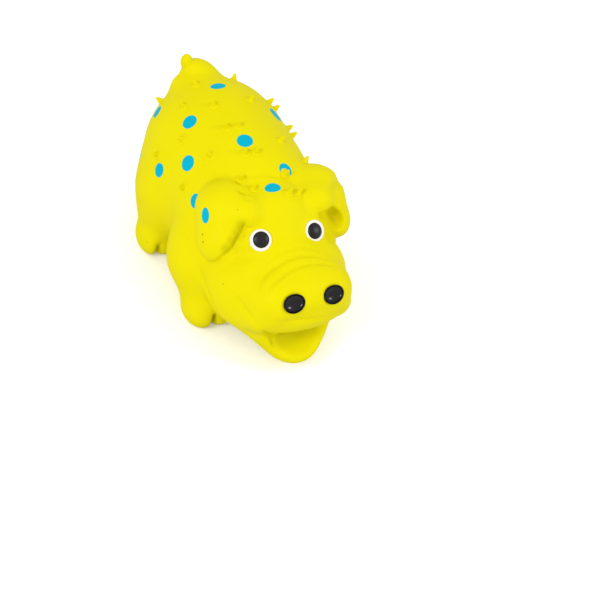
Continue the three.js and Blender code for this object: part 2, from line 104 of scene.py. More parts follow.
# The forms are worked out about the pig's own middle, and the frame stands it a little further back
CASE_LOW, CASE_HIGH = (np.array(corner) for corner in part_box("squeaker_case"))
CASE_MIDDLE = (CASE_LOW + CASE_HIGH) / 2
SHIFT = np.array([CASE_MIDDLE[0], CASE_MIDDLE[1] - SQUEAKER_STATION_SHARE * PIG_LENGTH, 0.0])

# Every lump is an ellipsoid, or a limb between two balls. Places and half sizes are shares of the
# width, length and height. A turned lump has its half sizes, and every blend its width, as shares of
# the height.
TORSO_SHARES = (
    {"at": (0, -0.042, 0.528), "half": (0.368, 0.21, 0.407)},
    {"at": (0, 0.125, 0.556), "half": (0.395, 0.26, 0.444), "blend": 0.148},
    {"at": (0, 0.275, 0.583), "half": (0.38, 0.205, 0.42), "blend": 0.148},
    {"at": (0.275, -0.083, 0.36), "half": (0.21, 0.125, 0.255), "blend": 0.111},
    {"at": (0.259, 0.208, 0.389), "half": (0.178, 0.156, 0.278), "blend": 0.111},
)
FORELEG_SHARES = (
    {"from": (0.302, -0.125, 0.296), "to": (0.302, -0.177, 0.111), "radii": (0.167, 0.142)},
    {"at": (0.366, -0.19, 0.085), "half": (0.08, 0.07, 0.095), "blend": 0.056},
    {"at": (0.262, -0.203, 0.074), "half": (0.06, 0.06, 0.08), "blend": 0.03},
)
HINDLEG_SHARES = (
    {"from": (0.278, 0.208, 0.37), "to": (0.317, 0.198, 0.13), "radii": (0.178, 0.13)},
    {"at": (0.395, 0.175, 0.085), "half": (0.068, 0.068, 0.093), "blend": 0.056},
    {"at": (0.33, 0.163, 0.072), "half": (0.055, 0.06, 0.078), "blend": 0.03},
)
HEAD_SHARES = (
    {"at": (0, -0.188, 0.509), "half": (0.345, 0.177, 0.278)},
    {"at": (0, -0.344, 0.5), "half": (0.266, 0.135, 0.191), "blend": 0.111},
    {"at": (0, -0.422, 0.491), "half": (0.255, 0.094, 0.154), "blend": 0.074},
    {"at": (0, -0.448, 0.402), "half": (0.295, 0.073, 0.126), "blend": 0.056},
    {"at": (0.164, -0.302, 0.343), "half": (0.198, 0.146, 0.194), "blend": 0.111},
    {"at": (0.21, -0.323, 0.481), "half": (0.117, 0.073, 0.13), "blend": 0.093},
    {"at": (0, -0.195, 0.72), "half": (0.2, 0.08, 0.168), "blend": 0.11},
    {"at": (0.245, -0.25, 0.37), "half": (0.13, 0.105, 0.165), "blend": 0.093},
    {"at": (0.15, -0.43, 0.5), "half": (0.13, 0.075, 0.13), "blend": 0.056},
    {"at": (0.155, -0.257, 0.68), "half": (0.09, 0.05, 0.078), "blend": 0.056},
)
TOE_NOTCH_SHARES = (
    {"at": (0.322, -0.25, 0.03), "half": (0.015, 0.045, 0.098)},
    {"at": (0.385, 0.112, 0.028), "half": (0.013, 0.038, 0.082)},
)
JAW_SHARES = (
    {"at": (0, -0.36, 0.23), "turned": (0.275, 0.265, 0.14)},
    {"at": (0, -0.425, 0.162), "turned": (0.18, 0.165, 0.125), "blend": 0.06},
)
MOUTH_SHARES = {"at": (0, -0.525, 0.325), "half": (0.222, 0.13, 0.175)}
EAR_ROOT_SHARES = {"at": (0.25, -0.14, 0.746), "turned": (0.182, 0.175, 0.15)}
EAR_FLAP_SHARES = {"at": (0.321, -0.181, 0.663), "turned": (0.183, 0.143, 0.115), "blend": 0.06}
EAR_LOBE_SHARES = {"at": (0.205, -0.2, 0.795), "half": (0.1, 0.06, 0.09), "blend": 0.03}
EAR_HOLLOW_SHARES = {"turned": (0.12, 0.05, 0.055), "shift": (0.06, -0.168, -0.075)}
EAR_CUP_SHARES = {"turned": (0.085, 0.085, 0.055), "shift": (0.07, -0.15, -0.008)}
TAIL_SHARES = (
    {"from": (-0.038, 0.362, 0.82), "to": (-0.038, 0.412, 0.935), "radii": (0.185, 0.095)},
    {"at": (0.01, 0.405, 0.915), "half": (0.08, 0.05, 0.08), "blend": 0.04},
    {"at": (-0.13, 0.395, 0.88), "half": (0.055, 0.04, 0.07), "blend": 0.04},
    {"at": (-0.1, 0.422, 1.02), "half": (0.034, 0.02, 0.05), "blend": 0.022},
)
JOIN_SHARES = {
    "leg_to_leg": 0.037, "legs": 0.111, "head": 0.06, "jaw": 0.056, "ears": 0.04, "tail": 0.074,
}
JOINS = {name: share * BACK_HEIGHT for name, share in JOIN_SHARES.items()}

# The head stands a little to one side of the body
HEAD_ASIDE = -0.02 * PIG_WIDTH
MIRRORED = (-1, 1, 1)

JAW_FORWARD = (0, -1, -0.15)
EAR_ROOT_OUT = (0.8, -0.1, 0.1)
EAR_DROP = (0.36, -0.72, -0.59)
EAR_FACE = (0.86, -0.02, 0.5)
UP = (0, 0, 1)

EYE_SHARES = ((-0.187, -0.3, 0.731), (0.126, -0.305, 0.729))
PUPIL_SHARES = ((-0.187, -0.3, 0.735), (0.12, -0.305, 0.728))
NOSTRIL_SHARES = (0.115, -0.501, 0.568)

# The levels that the eye whites and the pupils reach down to, against the skin
EYE_FOOT = -0.0012
PUPIL_FOOT = 0.0002

# A nostril's lining, as shares of the pit's half width and its depth: its back, rim and face
LINING_BACK = (1.04, 1.04)
LINING_RIM = (1.05, 0.06)
LINING_FACE = (1.0, 0.82)

# Spikes: how far back each stands, as a share of the length, and how many degrees it leans from
# straight up, to the pig's right side (-) or left side (+)
SPIKE_SHARES = (
    (0.354, 21), (0.396, -44), (0.318, -15), (0.25, -31), (0.188, -14), (0.188, 14), (0.24, 40),
    (0.219, 44), (0.135, 49), (0.094, 48), (0, 20), (0.073, -7), (0.083, -15), (0.146, -45),
    (0.021, -35), (-0.033, -13), (-0.043, -5), (0.198, -68), (0.021, -67), (-0.106, -26),
    (-0.152, -22), (-0.125, 12), (-0.202, 16), (-0.207, 5),
    (-0.056, 41), (0.396, 44), (0.25, 70), (0.073, 72), (0.333, 78),
)
SPIKE_ROOT = 0.0007
SPIKE_FLARE_SHARE = 0.28

# The painted spots: the middle of each, as shares of the width, length and height, and its half sizes
# along them against the spot radius setting
SPOTS = (
    ((-0.02, 0.275, 1.01), (1.12, 0.75, 0.95)), ((-0.305, 0.345, 0.79), (0.95, 0.95, 0.95)),
    ((-0.25, 0.18, 0.92), (1.15, 1, 1)), ((0.25, 0.155, 0.91), (1.15, 1.15, 1.15)),
    ((-0.065, 0.01, 0.975), (1.1, 1.1, 1.1)), ((-0.33, 0.065, 0.795), (1.05, 1.12, 1.12)),
    ((-0.39, 0.33, 0.52), (1, 1, 1)), ((-0.405, 0.16, 0.63), (0.8, 0.9, 1.05)),
    ((0.084, -0.114, 0.904), (1, 1, 1)), ((-0.038, -0.173, 0.886), (1.12, 0.88, 1)),
    ((-0.36, -0.05, 0.69), (1, 1, 1)), ((-0.41, -0.176, 0.785), (0.34, 0.8, 1.8)),
    ((0.333, 0.03, 0.76), (1, 1, 1)), ((0.41, 0.17, 0.6), (1, 1, 1)), ((0.38, 0.32, 0.56), (1, 1, 1)),
)

# Small dark marks in the latex, in the same way against the mark radius setting
MARKS = (
    ((-0.275, -0.221, 0.855), (1, 1, 1)), ((-0.247, -0.292, 0.697), (1.3, 1, 1.4)),
    ((-0.443, 0.135, 0.123), (1, 1, 1)), ((-0.429, -0.199, 0.684), (1, 1.8, 2.4)),
    ((-0.434, -0.215, 0.654), (1, 1.6, 2.6)), ((-0.377, -0.317, 0.488), (1.5, 1.2, 1.2)),
)

# Painted shade: a deeper colour laid where shade falls in the mouth, ears and neck folds, each
# place given in the same way against its radius setting
PAINTED_SHADES = (
    ((-0.05, -0.443, 0.2), (2.7, 1.2, 1.0)), ((-0.168, -0.462, 0.222), (0.35, 0.6, 0.8)),
    ((0.325, -0.238, 0.695), (0.6, 0.7, 0.9)),
    ((-0.268, -0.248, 0.777), (0.42, 0.8, 0.65)), ((-0.287, -0.254, 0.733), (0.45, 0.8, 0.6)),
    ((-0.316, -0.263, 0.703), (0.45, 0.8, 0.5)), ((-0.349, -0.269, 0.665), (0.45, 0.7, 0.5)),
    ((-0.198, -0.112, 0.883), (0.2, 0.3, 0.3)), ((-0.202, -0.169, 0.886), (0.27, 0.2, 0.3)),
)

# Folds pressed into the skin: the depth of each against the fold depth setting, its width against the
# fold width setting, the sides of the head it shows on (1 as given, -1 mirrored), and its line
FOLD_SHARES = (
    (1.9, 1.0, (1,), ((-0.254, -0.245, 0.833), (-0.249, -0.254, 0.778), (-0.258, -0.256, 0.737),
      (-0.281, -0.263, 0.705), (-0.318, -0.272, 0.653), (-0.362, -0.272, 0.609),
      (-0.391, -0.24, 0.53))),
    (1.6, 1.0, (1, -1), ((-0.411, -0.185, 0.445), (-0.409, -0.205, 0.406), (-0.408, -0.247, 0.36),
      (-0.406, -0.279, 0.335), (-0.38, -0.317, 0.274))),
    (2.3, 0.95, (1,), ((-0.213, -0.093, 0.878), (-0.202, -0.112, 0.883), (-0.184, -0.126, 0.881))),
    (2.3, 0.95, (1,), ((-0.225, -0.158, 0.891), (-0.206, -0.168, 0.886), (-0.18, -0.177, 0.881))),
    (0.7, 1.0, (1,), ((-0.219, -0.184, 0.887), (-0.207, -0.197, 0.886), (-0.19, -0.212, 0.882))),
    (1.5, 1.0, (1,), ((-0.27, -0.486, 0.388), (-0.245, -0.484, 0.34), (-0.186, -0.454, 0.264),
      (-0.167, -0.459, 0.226), (-0.162, -0.476, 0.19))),
    (3.2, 2.4, (1,), ((0.29, -0.204, 0.862), (0.335, -0.192, 0.855), (0.37, -0.17, 0.84),
      (0.4, -0.135, 0.79))),
    (1.1, 1.2, (1,), ((-0.17, -0.1, 0.885), (-0.06, -0.115, 0.91), (0.04, -0.135, 0.9),
      (0.12, -0.16, 0.87))),
    (0.6, 1.0, (1,), ((-0.2, -0.37, 0.645), (-0.155, -0.352, 0.675), (-0.08, -0.346, 0.7),
      (0, -0.349, 0.705), (0.06, -0.354, 0.695), (0.12, -0.368, 0.665))),
    (1.5, 0.9, (1,), ((-0.265, -0.415, 0.59), (-0.215, -0.39, 0.634), (-0.13, -0.378, 0.67),
      (-0.04, -0.375, 0.69), (0.05, -0.379, 0.682), (0.15, -0.395, 0.64))),
    (1.5, 0.9, (1,), ((-0.255, -0.445, 0.6), (-0.2, -0.432, 0.637), (-0.1, -0.412, 0.666),
      (-0.01, -0.408, 0.677), (0.09, -0.41, 0.66), (0.185, -0.428, 0.625))),
    (0.9, 0.8, (1,), ((-0.245, -0.497, 0.468), (-0.125, -0.517, 0.451), (-0.04, -0.523, 0.444),
      (0.03, -0.522, 0.43), (0.13, -0.512, 0.395))),
    (1.1, 1.0, (1, -1), ((-0.34, -0.365, 0.475), (-0.32, -0.39, 0.451), (-0.3, -0.42, 0.43),
      (-0.285, -0.46, 0.42), (-0.26, -0.485, 0.39))),
)

# Clouded finishes: the specular level, the size and detail of the clouding, its share of the
# roughness, and the size, detail and height of the fine bumps
GLOSS = {
    "specular": 0.3, "cloud": (0.0009, 4.0), "rough": 0.12, "bumps": (0.002, 2.0), "proud": 0.00003,
}
PLASTIC = {
    "specular": 0.5, "cloud": (0.003, 3.0), "rough": 0.1, "bumps": (0.0004, 3.0), "proud": 0.00002,
}

# The two colours that each is clouded with
EYE_WHITE = ((0.89, 0.87, 0.85), (0.84, 0.81, 0.78))
PAINT_BLACK = ((0.004, 0.003, 0.005), (0.012, 0.01, 0.012))
CASE_PLASTIC = ((0.84, 0.83, 0.79), (0.78, 0.77, 0.73))
REED_FILM = ((0.66, 0.69, 0.72), (0.6, 0.63, 0.66))

# The latex: its specular level and least roughness, how far its grain and paint stand proud, and the
# size and detail of its mottling, its fine speckle and the ragged edge of its paint
LATEX_SPECULAR = 0.04
LATEX_ROUGHNESS = 0.42
LATEX_PROUD = 0.00006
MOTTLE = (0.012, 3.0)
SPECKLE = (0.0011, 4.0)
RAGGED_EDGE = (0.0016, 2.0)

# The photograph's view: the lens and sensor in millimetres, the camera's place about the pig's own
# middle, and its directions right and up
LENS = 74.7
SENSOR = 36
CAMERA_PLACE = (-0.16932, -0.25877, 0.27431)
CAMERA_RIGHT = (0.8683, -0.4607, 0.1837)
CAMERA_UP = (0.2027, 0.6677, 0.7163)

# Each lamp's width and place, and the floor's radius, how far it lies below the soles, and its glow
KEY_LAMP = (0.18, (-0.45, -0.2, 0.38))
FILL_LAMP = (0.12, (0.4, -0.35, 0.36))
FLOOR_RADIUS = 3
FLOOR_DROP = 0.00002
FLOOR_GLOW = (0.2, 0.2, 0.2)


def place(shares):
    """Shares of the width, length and height as points of the pig, about its own middle"""
    return np.array(shares) * SPAN


def smooth_join(a, b, width):
    """The smaller of two distances, rounded over a width w: b + (a - b) h - w h (1 - h), where h runs
    from 0 to 1 as b - a runs from -w to w"""
    h = np.clip(0.5 + 0.5 * (b - a) / width, 0, 1)
    return b + (a - b) * h - width * h * (1 - h)


def smooth_cut(a, b, width):
    """The larger of two distances, rounded over a width"""
    return -smooth_join(-a, -b, width)


def axes_of(along, out):
    """Three unit axes: along a direction, across it, and out along a second one made square to it"""
    t = np.array(along, float)
    t /= np.linalg.norm(t)
    n = np.array(out, float) - np.dot(out, t) * t
    n /= np.linalg.norm(n)
    return t, np.cross(n, t), n


def ellipsoid(x, y, z, centre, half, axes=None):
    """Distance to an ellipsoid, near enough: k (k - 1) / g, where k is the distance from its middle
    with each axis scaled by its half size, and g is how fast k grows there"""
    parts = (x - centre[0], y - centre[1], z - centre[2])
    if axes is not None:
        parts = [axis[0] * parts[0] + axis[1] * parts[1] + axis[2] * parts[2] for axis in axes]
    near = np.sqrt(sum((part / size) ** 2 for part, size in zip(parts, half)))
    slope = np.sqrt(sum((part / size**2) ** 2 for part, size in zip(parts, half)))
    return near * (near - 1) / np.maximum(slope, 1e-9)


def limb(x, y, z, start, end, radii):
    """Distance to a round limb that tapers from one ball to another: the distance to the nearest
    point of its middle line, less the radius there"""
    run = end - start
    u, v, w = x - start[0], y - start[1], z - start[2]
    h = np.clip((u * run[0] + v * run[1] + w * run[2]) / np.dot(run, run), 0, 1)
    gap = np.sqrt((u - h * run[0]) ** 2 + (v - h * run[1]) ** 2 + (w - h * run[2]) ** 2)
    return gap - (radii[0] + (radii[1] - radii[0]) * h)


def lump(shares, x, y, z, axes=None):
    """Distance to one lump of the tables"""
    if "from" in shares:
        radii = np.array(shares["radii"]) * BACK_HEIGHT
        return limb(x, y, z, place(shares["from"]), place(shares["to"]), radii)
    if "turned" in shares:
        half = np.array(shares["turned"]) * BACK_HEIGHT
        return ellipsoid(x, y, z, place(shares["at"]), half, axes)
    return ellipsoid(x, y, z, place(shares["at"]), place(shares["half"]))


def blended(table, x, y, z, axes=None):
    """Distance to the lumps of one table, each blended into those before it"""
    distance = lump(table[0], x, y, z, axes)
    for shares in table[1:]:
        distance = smooth_join(distance, lump(shares, x, y, z, axes), shares["blend"] * BACK_HEIGHT)
    return distance


def aside(x):
    """How far each point is from the head's middle plane, on either side"""
    return np.abs(x - HEAD_ASIDE)


def pig_gap(x, y, z, whole=True):
    """Distance to the pig's outside, negative inside, with its lower jaw and ears or without them"""
    side, head_side = np.abs(x), aside(x)
    head = blended(HEAD_SHARES, head_side, y, z)
    if whole:
        jaw = blended(JAW_SHARES, head_side, y, z, axes_of(JAW_FORWARD, UP))
        head = smooth_join(head, jaw, JOINS["jaw"])
    legs = smooth_join(
        blended(FORELEG_SHARES, side, y, z), blended(HINDLEG_SHARES, side, y, z), JOINS["leg_to_leg"]
    )
    body = smooth_join(blended(TORSO_SHARES, side, y, z), legs, JOINS["legs"])
    body = smooth_join(body, head, JOINS["head"])
    body = smooth_join(body, blended(TAIL_SHARES, x, y, z), JOINS["tail"])
    if not whole:
        return body
    root = lump(EAR_ROOT_SHARES, side, y, z, axes_of(EAR_ROOT_OUT, UP))
    flap = lump(EAR_FLAP_SHARES, side, y, z, axes_of(EAR_DROP, EAR_FACE))
    ear = smooth_join(root, flap, EAR_FLAP_SHARES["blend"] * BACK_HEIGHT)
    lobe = lump(EAR_LOBE_SHARES, side, y, z)
    ear = smooth_join(ear, lobe, EAR_LOBE_SHARES["blend"] * BACK_HEIGHT)
    return smooth_join(body, ear, JOINS["ears"])


def ear_hollow_gap(shares, side, y, z):
    """Distance to a hollow in an ear's flap, placed from the flap's own middle"""
    axes = axes_of(EAR_DROP, EAR_FACE)
    shift = sum(share * axis for share, axis in zip(shares["shift"], axes))
    half = np.array(shares["turned"]) * BACK_HEIGHT
    centre = place(EAR_FLAP_SHARES["at"]) + shift * BACK_HEIGHT
    return ellipsoid(side, y, z, centre, half, axes)


def skin_gap(x, y, z):
    """Distance to the finished outside: the pig, less the mouth, ear hollows, nostril pits and toe
    notches, with rounded lips, and cut flat under the soles. The mouth and the ear hollows stop just
    short of the pig without jaw and ears."""
    skin = bpy.context.scene.pig_skin
    core = pig_gap(x, y, z, whole=False) - POCKET_EASE
    gap = pig_gap(x, y, z)
    pockets = (
        (lump(MOUTH_SHARES, aside(x), y, z), skin.mouth_round),
        (ear_hollow_gap(EAR_HOLLOW_SHARES, np.abs(x), y, z), skin.lip_round),
        (ear_hollow_gap(EAR_CUP_SHARES, x, y, z), skin.cup_round),
    )
    for pocket, rounding in pockets:
        room = smooth_cut(pocket, -core, rounding)
        gap = smooth_cut(gap, -room, rounding)
    gap = smooth_cut(gap, -nostril_gap(x, y, z), skin.rim_round)
    for notch in TOE_NOTCH_SHARES:
        gap = smooth_cut(gap, -lump(notch, np.abs(x), y, z), skin.lip_round)
    return smooth_cut(gap, -z, skin.sole_round)


def cavity_gap(x, y, z):
    """Distance to the hollow inside, which keeps the wall's thickness from the outside and half of it
    from the toe notches. The jaw and the ears are solid."""
    wall = bpy.context.scene.pig_skin.wall
    gap = pig_gap(x, y, z, whole=False) + wall
    for notch in TOE_NOTCH_SHARES:
        gap = smooth_cut(gap, wall / 2 - lump(notch, np.abs(x), y, z), wall / 2)
    return gap


def slopes(gap, points, step=0.0002):
    """How a distance changes along each axis at each point: the difference over a small step"""
    columns = []
    for shift in np.eye(3) * step:
        columns.append(gap(*(points + shift).T) - gap(*(points - shift).T))
    return np.stack(columns, axis=1) / (2 * step)


def unit(vectors):
    """Vectors divided by their lengths"""
    return vectors / np.maximum(np.linalg.norm(vectors, axis=-1, keepdims=True), 1e-12)


def on_skin(targets, gap=pig_gap, rounds=4):
    """The nearest skin points to some points near the pig's outside, and the directions out there"""
    points = np.array(targets, float)
    for _ in range(rounds):
        slope = slopes(gap, points)
        length = np.maximum((slope**2).sum(axis=1), 1e-6)
        points -= slope * (gap(*points.T) / length)[:, None]
    return points, unit(slopes(gap, points))


def face_seat(shares):
    """The skin point and direction of a feature of the face, about the head's middle plane"""
    head_middle = np.array([HEAD_ASIDE, 0, 0])
    points, outs = on_skin([place(shares) + head_middle])
    return points - head_middle, outs


def seen_along(starts, directions, rounds=200, stride=0.8):
    """The first skin points along lines, coming from far outside towards their starts: each round
    goes a share of the distance that is left"""
    points = starts + directions * PIG_LENGTH
    for _ in range(rounds):
        points = points - directions * (stride * pig_gap(*points.T))[:, None]
    return points, unit(slopes(pig_gap, points))


def frames_on(outs):
    """Two unit directions square to each direction out: across it level, and along the skin"""
    across = unit(np.cross(np.array(UP, float), outs))
    return across, np.cross(outs, across)


def nostril_gap(x, y, z):
    """Distance to the two shallow oval pits in the snout"""
    nose = bpy.context.scene.pig_face
    middle, out = NOSTRIL_SEAT
    across, along = frames_on(out)
    half = (nose.nostril_width / 2, nose.nostril_height / 2, nose.nostril_depth)
    return ellipsoid(aside(x), y, z, middle[0], half, (across[0], along[0], out[0]))


NOSTRIL_SEAT = face_seat(NOSTRIL_SHARES)


def parted(values):
    """Grid values with no face whose corners alternate, where two sheets would pinch: the outside
    corner nearest the surface is drawn inside until none is left"""
    values = values.copy()
    while True:
        changed = False
        for axis in range(3):
            near, far = [other for other in range(3) if other != axis]
            a, b = (np.delete(values, edge, axis=near) for edge in (-1, 0))
            a0, a1 = (np.delete(a, edge, axis=far) for edge in (-1, 0))
            b0, b1 = (np.delete(b, edge, axis=far) for edge in (-1, 0))
            inside = [corner < 0 for corner in (a0, a1, b0, b1)]
            bad = (inside[0] == inside[3]) & (inside[1] == inside[2]) & (inside[0] != inside[1])
            if not bad.any():
                continue
            changed = True
            where = np.stack(np.nonzero(bad), axis=1)
            corners = np.stack([corner[bad] for corner in (a0, a1, b0, b1)], axis=1)
            choice = np.argmin(np.where(corners < 0, np.inf, corners), axis=1)
            where[:, near] += choice // 2
            where[:, far] += choice % 2
            values[tuple(where.T)] = JUST_INSIDE
        if not changed:
            return values


def net_round(gap, lines):
    """Points and four-sided faces round the space where a distance is negative. Each grid cell that
    the surface crosses gets one point, the mean of the crossings of its edges, and each crossed
    grid edge gets one face between the four cells round it."""
    values = parted(gap(lines[0][:, None, None], lines[1][None, :, None], lines[2][None, None, :]))
    size = np.array(values.shape)
    cells_at, crossings, rings = [], [], []
    for axis in range(3):
        near, far = (axis + 1) % 3, (axis + 2) % 3
        low, high = np.delete(values, -1, axis=axis), np.delete(values, 0, axis=axis)
        at = np.stack(np.nonzero((low < 0) != (high < 0)), axis=1)
        a, b = low[tuple(at.T)], high[tuple(at.T)]
        point = np.stack([lines[k][at[:, k]] for k in range(3)], axis=1)
        step = lines[axis][at[:, axis] + 1] - lines[axis][at[:, axis]]
        point[:, axis] += step * a / (a - b)
        ring = []
        for back_near, back_far in ((1, 1), (0, 1), (0, 0), (1, 0)):
            cell = at.copy()
            cell[:, near] -= back_near
            cell[:, far] -= back_far
            ring.append(np.ravel_multi_index(cell.T, size))
            cells_at.append(ring[-1])
            crossings.append(point)
        ring = np.stack(ring, axis=1)
        rings.append(np.where((a < 0)[:, None], ring, ring[:, ::-1]))
    cells, owner = np.unique(np.concatenate(cells_at), return_inverse=True)
    crossings = np.concatenate(crossings)
    count = np.bincount(owner)
    points = np.stack([np.bincount(owner, crossings[:, k]) / count for k in range(3)], axis=1)
    return points, np.searchsorted(cells, np.concatenate(rings))


def relaxed(points, faces, gap, rounds):
    """Points spread evenly over the surface: each moves to the mean of its neighbours, then back to
    the surface along the slope"""
    starts = np.tile(faces, (2, 1)).ravel()
    ends = np.concatenate([np.roll(faces, -1, axis=1), np.roll(faces, 1, axis=1)]).ravel()
    count = np.bincount(starts, minlength=len(points))
    for _ in range(rounds):
        sums = [np.bincount(starts, points[ends, k], len(points)) for k in range(3)]
        points = np.stack([total / count for total in sums], axis=1)
        slope = slopes(gap, points)
        length = np.maximum((slope**2).sum(axis=1), 0.1)
        points = points - slope * (gap(*points.T) / length)[:, None]
    return points


def smooth_line(knots, count):
    """A line through the knots: between two of them, the cubic that leaves each knot along the run
    between its neighbours"""
    knots = np.array(knots, float)
    ends = np.concatenate([[2 * knots[0] - knots[1]], knots, [2 * knots[-1] - knots[-2]]])
    t = np.linspace(0, len(knots) - 1, count)
    i = np.minimum(t.astype(int), len(knots) - 2)
    u = (t - i)[:, None]
    p0, p1, p2, p3 = ends[i], ends[i + 1], ends[i + 2], ends[i + 3]
    bend = 2 * p0 - 5 * p1 + 4 * p2 - p3 + u * (3 * (p1 - p2) + p3 - p0)
    return p1 + 0.5 * u * (p2 - p0 + u * bend)


def fold_depths(points):
    """How deep the folds press at each point: for each fold, its depth times a bell over the distance
    to its line, fading to nothing at the line's ends"""
    skin = bpy.context.scene.pig_skin
    depths = np.zeros(len(points))
    for depth, share, sides, shares in FOLD_SHARES:
        width = share * skin.fold_width
        reach = 3 * width
        for side in sides:
            knots = place(shares)
            if side < 0:
                knots = knots * MIRRORED + (2 * HEAD_ASIDE, 0, 0)
            line, _ = on_skin(smooth_line(knots, FOLD_POINTS), skin_gap)
            low, high = line.min(axis=0) - reach, line.max(axis=0) + reach
            near = np.nonzero(((points > low) & (points < high)).all(axis=1))[0]
            if not len(near):
                continue
            away = np.linalg.norm(points[near, None] - line[None], axis=2)
            nearest = away.argmin(axis=1)
            t = nearest / (len(line) - 1)
            fade = np.sin(np.pi * np.clip(t, 0.02, 0.98)) ** 0.6
            bell = np.exp(-((away.min(axis=1) / width) ** 2))
            depths[near] += skin.fold_depth * depth * fade * bell
    return depths


def added(name, data):
    """A new object of some data, in the scene"""
    made = bpy.data.objects.new(name, data)
    bpy.context.scene.collection.objects.link(made)
    return made


def new_piece(name, points, faces, finish=None, smooth=True):
    """A mesh object from points about the pig's own middle and a table of faces, with its material"""
    mesh = bpy.data.meshes.new(name)
    points = np.asarray(points, np.float32) + SHIFT.astype(np.float32)
    corners = np.asarray(faces, np.int32).ravel()
    starts = np.arange(len(faces), dtype=np.int32) * faces.shape[1]
    mesh.vertices.add(len(points))
    mesh.vertices.foreach_set("co", points.ravel())
    mesh.loops.add(len(corners))
    mesh.loops.foreach_set("vertex_index", corners)
    mesh.polygons.add(len(starts))
    mesh.polygons.foreach_set("loop_start", starts)
    mesh.polygons.foreach_set("use_smooth", np.full(len(starts), smooth))
    mesh.update(calc_edges=True)
    mesh.validate()
    if finish is not None:
        mesh.materials.append(finish)
    return added(name, mesh)


def merged(piece, nearer=POLE_MERGE, outward=True):
    """The piece with its nearest points merged and, if wanted, its faces turned to point out"""
    work = bmesh.new()
    work.from_mesh(piece.data)
    bmesh.ops.remove_doubles(work, verts=work.verts, dist=nearer)
    if outward:
        bmesh.ops.recalc_face_normals(work, faces=work.faces)
    work.to_mesh(piece.data)
    work.free()
    return piece


def stood_piece(name, profile, steps, seats, outs, finish):
    """A piece of one turned profile, stood on each seat"""
    points, faces = turned(profile, steps)
    placed = stood(points, seats, outs).reshape(-1, 3)
    firsts = np.arange(len(seats)) * len(points)
    faces = (faces[None] + firsts[:, None, None]).reshape(-1, faces.shape[1])
    return merged(new_piece(name, placed, faces, finish))


def turned(profile, steps):
    """Points and faces of a profile of (radius, height) turned about the Z axis: radius times the
    cosine and sine of the angle, and the height. A profile point on the axis becomes one pole."""
    profile = np.array(profile, float)
    angles = np.arange(steps) * 2 * np.pi / steps
    ring = np.stack([np.cos(angles), np.sin(angles), np.zeros(steps)], axis=1)
    points = profile[:, 0, None, None] * ring + np.array([0, 0, 1]) * profile[:, 1, None, None]
    rows = np.arange(len(profile) * steps).reshape(len(profile), steps)
    beside = np.roll(rows, -1, axis=1)
    quads = np.stack([rows[:-1], beside[:-1], beside[1:], rows[1:]], axis=-1)
    return points.reshape(-1, 3), quads.reshape(-1, 4)


def stood(points, seats, outs):
    """Copies of points, each stood on a seat with its Z axis turned to the direction out"""
    across, along = frames_on(outs)
    axes = np.stack([across, along, outs], axis=1)
    return seats[:, None] + np.einsum("pk,skc->spc", points, axes)


class Value:
    """A number inside a material. Arithmetic on it adds Math nodes."""

    def __init__(self, finish, socket):
        self.finish = finish
        self.socket = socket

    def reckoned(self, operation, *others, flip=False):
        """The number and others put through a Math node, in the other order if flipped"""
        terms = [self, *others]
        if flip:
            terms.reverse()
        return self.finish.number("ShaderNodeMath", {"operation": operation}, dict(enumerate(terms)))

    def __add__(self, other):
        return self.reckoned("ADD", other)

    def __sub__(self, other):
        return self.reckoned("SUBTRACT", other)

    def __rsub__(self, other):
        return self.reckoned("SUBTRACT", other, flip=True)

    def __mul__(self, other):
        return self.reckoned("MULTIPLY", other)

    def least(self, other):
        return self.reckoned("MINIMUM", other)

    def stepped(self, start, end):
        """From 0 to 1, smoothly, as the number goes from start to end"""
        settings = {"interpolation_type": "SMOOTHSTEP"}
        sockets = {"Value": self, "From Min": start, "From Max": end}
        return self.finish.number("ShaderNodeMapRange", settings, sockets)


